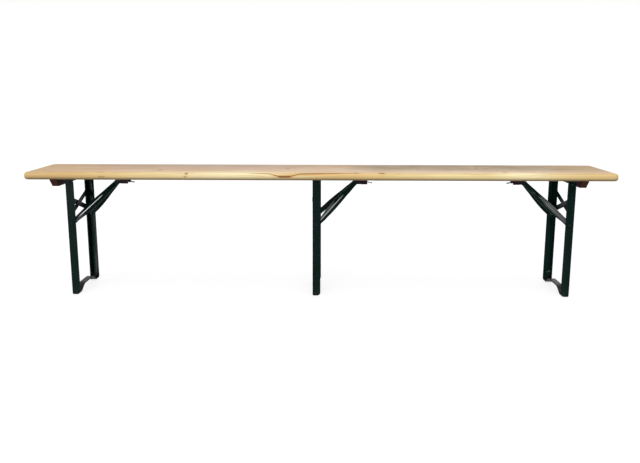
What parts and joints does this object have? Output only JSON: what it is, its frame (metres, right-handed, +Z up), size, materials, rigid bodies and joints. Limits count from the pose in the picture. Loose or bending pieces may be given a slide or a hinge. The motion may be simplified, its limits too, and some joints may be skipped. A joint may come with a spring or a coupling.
{
  "type": "folding bench",
  "caption": "Long low folding bench with a rounded pine seat board on folding frames of dark green angle steel, each with crossed bars, an arched foot bar and a latching brace.",
  "frame": {"origin": "on the floor, under the middle of the seat board", "axes": "+X along the seat, +Y across it towards the back, +Z up"},
  "size_m": [2.2, 0.25, 0.48],
  "materials": {
    "pine_board": "clear varnished pine, light yellow with knots",
    "brown_batten": "dark brown stained wood",
    "green_paint": "glossy very dark green paint",
    "catch_steel": "dark coated steel",
    "spring_steel": "dark spring steel",
    "rivet_steel": "rivets painted over with the frames"
  },
  "bodies": {
    "seat": {"seat_board": "pine_board", "end_batten_left": "brown_batten", "end_batten_right": "brown_batten", "hinge_bracket_front_left": "green_paint", "hinge_rivet_front_left": "rivet_steel", "hinge_bracket_back_left": "green_paint", "hinge_rivet_back_left": "rivet_steel", "catch_housing_left": "catch_steel", "catch_rivet_left": "rivet_steel", "hinge_bracket_front_middle": "green_paint", "hinge_rivet_front_middle": "rivet_steel", "hinge_bracket_back_middle": "green_paint", "hinge_rivet_back_middle": "rivet_steel", "catch_housing_middle": "catch_steel", "catch_rivet_middle": "rivet_steel", "hinge_bracket_front_right": "green_paint", "hinge_rivet_front_right": "rivet_steel", "hinge_bracket_back_right": "green_paint", "hinge_rivet_back_right": "rivet_steel", "catch_housing_right": "catch_steel", "catch_rivet_right": "rivet_steel"},
    "leg_left": {"upright_front_left": "green_paint", "upright_back_left": "green_paint", "cross_bar_lapped_left": "green_paint", "cross_bar_butted_left": "green_paint", "foot_bar_left": "green_paint", "brace_rivet_front_left": "rivet_steel", "brace_rivet_back_left": "rivet_steel"},
    "brace_left": {"brace_arm_front_left": "green_paint", "brace_arm_back_left": "green_paint", "brace_yoke_left": "green_paint", "brace_pin_left": "rivet_steel"},
    "lever_left": {"catch_lever_left": "spring_steel"},
    "leg_middle": {"upright_front_middle": "green_paint", "upright_back_middle": "green_paint", "cross_bar_lapped_middle": "green_paint", "cross_bar_butted_middle": "green_paint", "foot_bar_middle": "green_paint", "brace_rivet_front_middle": "rivet_steel", "brace_rivet_back_middle": "rivet_steel"},
    "brace_middle": {"brace_arm_front_middle": "green_paint", "brace_arm_back_middle": "green_paint", "brace_yoke_middle": "green_paint", "brace_pin_middle": "rivet_steel"},
    "lever_middle": {"catch_lever_middle": "spring_steel"},
    "leg_right": {"upright_front_right": "green_paint", "upright_back_right": "green_paint", "cross_bar_lapped_right": "green_paint", "cross_bar_butted_right": "green_paint", "foot_bar_right": "green_paint", "brace_rivet_front_right": "rivet_steel", "brace_rivet_back_right": "rivet_steel"},
    "brace_right": {"brace_arm_front_right": "green_paint", "brace_arm_back_right": "green_paint", "brace_yoke_right": "green_paint", "brace_pin_right": "rivet_steel"},
    "lever_right": {"catch_lever_right": "spring_steel"}
  },
  "joints": [
    {"name": "leg_fold_left", "type": "hinge", "parent": "seat", "child": "leg_left", "pos_m": [-0.94, 0, 0.436], "axis": [0, -1, 0], "range_deg": [0, 90]},
    {"name": "brace_fold_left", "type": "hinge", "parent": "leg_left", "child": "brace_left", "pos_m": [-0.939, 0, 0.28], "axis": [0, 1, 0], "range_deg": [0, 135]},
    {"name": "catch_press_left", "type": "hinge", "parent": "seat", "child": "lever_left", "pos_m": [-0.81, 0, 0.44945], "axis": [0, -1, 0], "range_deg": [0, 5], "stiffness_Nm_per_rad": 3},
    {"name": "leg_fold_middle", "type": "hinge", "parent": "seat", "child": "leg_middle", "pos_m": [-0.011, 0, 0.436], "axis": [0, -1, 0], "range_deg": [0, 90]},
    {"name": "brace_fold_middle", "type": "hinge", "parent": "leg_middle", "child": "brace_middle", "pos_m": [-0.01, 0, 0.28], "axis": [0, 1, 0], "range_deg": [0, 135]},
    {"name": "catch_press_middle", "type": "hinge", "parent": "seat", "child": "lever_middle", "pos_m": [0.119, 0, 0.44945], "axis": [0, -1, 0], "range_deg": [0, 5], "stiffness_Nm_per_rad": 3},
    {"name": "leg_fold_right", "type": "hinge", "parent": "seat", "child": "leg_right", "pos_m": [0.94, 0, 0.436], "axis": [0, 1, 0], "range_deg": [0, 90]},
    {"name": "brace_fold_right", "type": "hinge", "parent": "leg_right", "child": "brace_right", "pos_m": [0.939, 0, 0.28], "axis": [0, -1, 0], "range_deg": [0, 135]},
    {"name": "catch_press_right", "type": "hinge", "parent": "seat", "child": "lever_right", "pos_m": [0.81, 0, 0.44945], "axis": [0, 1, 0], "range_deg": [0, 5], "stiffness_Nm_per_rad": 3}
  ],
  "couplings": [
    {"joint": "brace_fold_left", "follows": "leg_fold_left", "ratio": 1.5},
    {"joint": "brace_fold_middle", "follows": "leg_fold_middle", "ratio": 1.5},
    {"joint": "brace_fold_right", "follows": "leg_fold_right", "ratio": 1.5}
  ]
}
